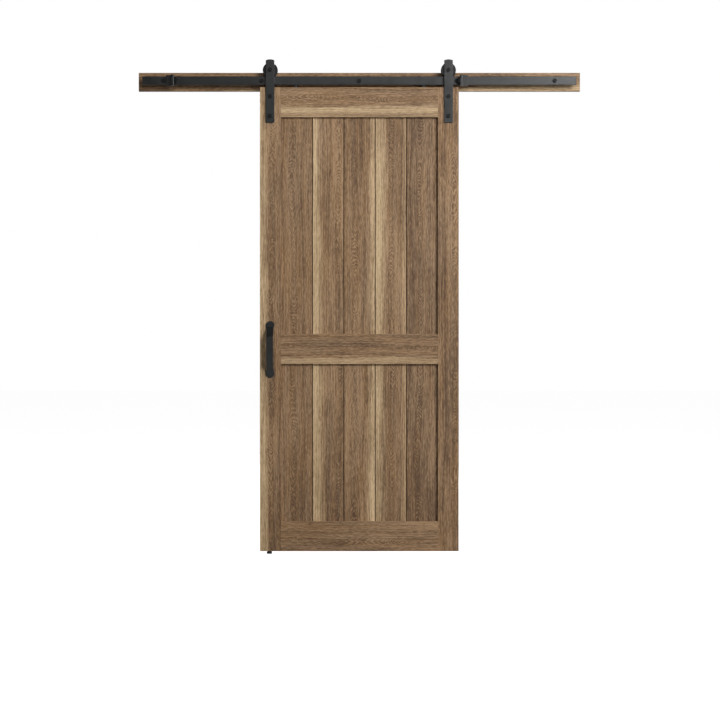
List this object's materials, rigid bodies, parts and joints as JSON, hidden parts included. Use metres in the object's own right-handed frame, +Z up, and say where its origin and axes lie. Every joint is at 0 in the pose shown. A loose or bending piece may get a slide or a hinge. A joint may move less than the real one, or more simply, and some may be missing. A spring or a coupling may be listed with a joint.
{
  "type": "sliding barn door",
  "caption": "Framed wooden plank door that hangs from a flat steel rail on strap hangers with grooved wheels, with header board, end stops, pull handle and floor guide.",
  "frame": {"origin": "centre of the header board's back face, which lies on the wall", "axes": "+X along the wall to the right seen from the room, +Y into the wall, +Z up"},
  "size_m": [2.042, 0.113, 2.2738],
  "materials": {
    "header_oak": "satin oiled oak, darker board",
    "oak": "satin oiled oak",
    "beech_dowel": "plain turned",
    "charcoal_steel": "satin charcoal powder coat",
    "blackened_steel": "satin black",
    "black_oxide_steel": "satin black oxide",
    "rubber": "matt",
    "black_nylon": "satin moulded",
    "bearing_steel": "ground",
    "zinc_steel": "zinc plated"
  },
  "bodies": {
    "track": {"floor_guide": "black_nylon", "header_board": "header_oak", "stop_left_body": "charcoal_steel", "stop_left_bumper": "rubber", "stop_left_bumper_screw": "black_oxide_steel", "stop_left_set_screws": "black_oxide_steel", "stop_right_body": "charcoal_steel", "stop_right_bumper": "rubber", "stop_right_bumper_screw": "black_oxide_steel", "stop_right_set_screws": "black_oxide_steel", "track_bolts": "black_oxide_steel", "track_rail": "charcoal_steel", "track_spacers": "charcoal_steel"},
    "door": {"antijump_disc_left": "black_nylon", "antijump_disc_right": "black_nylon", "antijump_screws": "zinc_steel", "frame_dowels": "beech_dowel", "handle_pull": "charcoal_steel", "handle_screws": "zinc_steel", "hanger_left_axle_bolt": "black_oxide_steel", "hanger_left_axle_nut": "black_oxide_steel", "hanger_left_axle_spacer": "zinc_steel", "hanger_left_bearing_inner": "bearing_steel", "hanger_left_bolts": "black_oxide_steel", "hanger_left_nuts": "black_oxide_steel", "hanger_left_strap": "charcoal_steel", "hanger_left_washers": "black_oxide_steel", "hanger_right_axle_bolt": "black_oxide_steel", "hanger_right_axle_nut": "black_oxide_steel", "hanger_right_axle_spacer": "zinc_steel", "hanger_right_bearing_inner": "bearing_steel", "hanger_right_bolts": "black_oxide_steel", "hanger_right_nuts": "black_oxide_steel", "hanger_right_strap": "charcoal_steel", "hanger_right_washers": "black_oxide_steel", "plank_1": "oak", "plank_2": "oak", "plank_3": "oak", "plank_4": "oak", "plank_5": "oak", "rail_bottom": "oak", "rail_mid_back": "oak", "rail_mid_front": "oak", "rail_top": "oak", "stile_left": "oak", "stile_right": "oak"},
    "wheel_left": {"hanger_left_bearing_balls": "bearing_steel", "hanger_left_bearing_outer": "bearing_steel", "hanger_left_bearing_shields": "rubber", "hanger_left_wheel": "blackened_steel"},
    "wheel_right": {"hanger_right_bearing_balls": "bearing_steel", "hanger_right_bearing_outer": "bearing_steel", "hanger_right_bearing_shields": "rubber", "hanger_right_wheel": "blackened_steel"}
  },
  "joints": [
    {"name": "door_slide", "type": "slide", "parent": "track", "child": "door", "axis": [1, 0, 0], "range_m": [-0.4115, 0.0225]},
    {"name": "wheel_left_spin", "type": "hinge", "parent": "door", "child": "wheel_left", "pos_m": [-0.41, -0.0535, 0.0472], "axis": [0, 1, 0], "range_deg": [-880, 50]},
    {"name": "wheel_right_spin", "type": "hinge", "parent": "door", "child": "wheel_right", "pos_m": [0.41, -0.0535, 0.0472], "axis": [0, 1, 0], "range_deg": [-880, 50]}
  ],
  "couplings": [
    {"joint": "wheel_left_spin", "follows": "door_slide", "rad_per_m": 37.037},
    {"joint": "wheel_right_spin", "follows": "door_slide", "rad_per_m": 37.037}
  ]
}
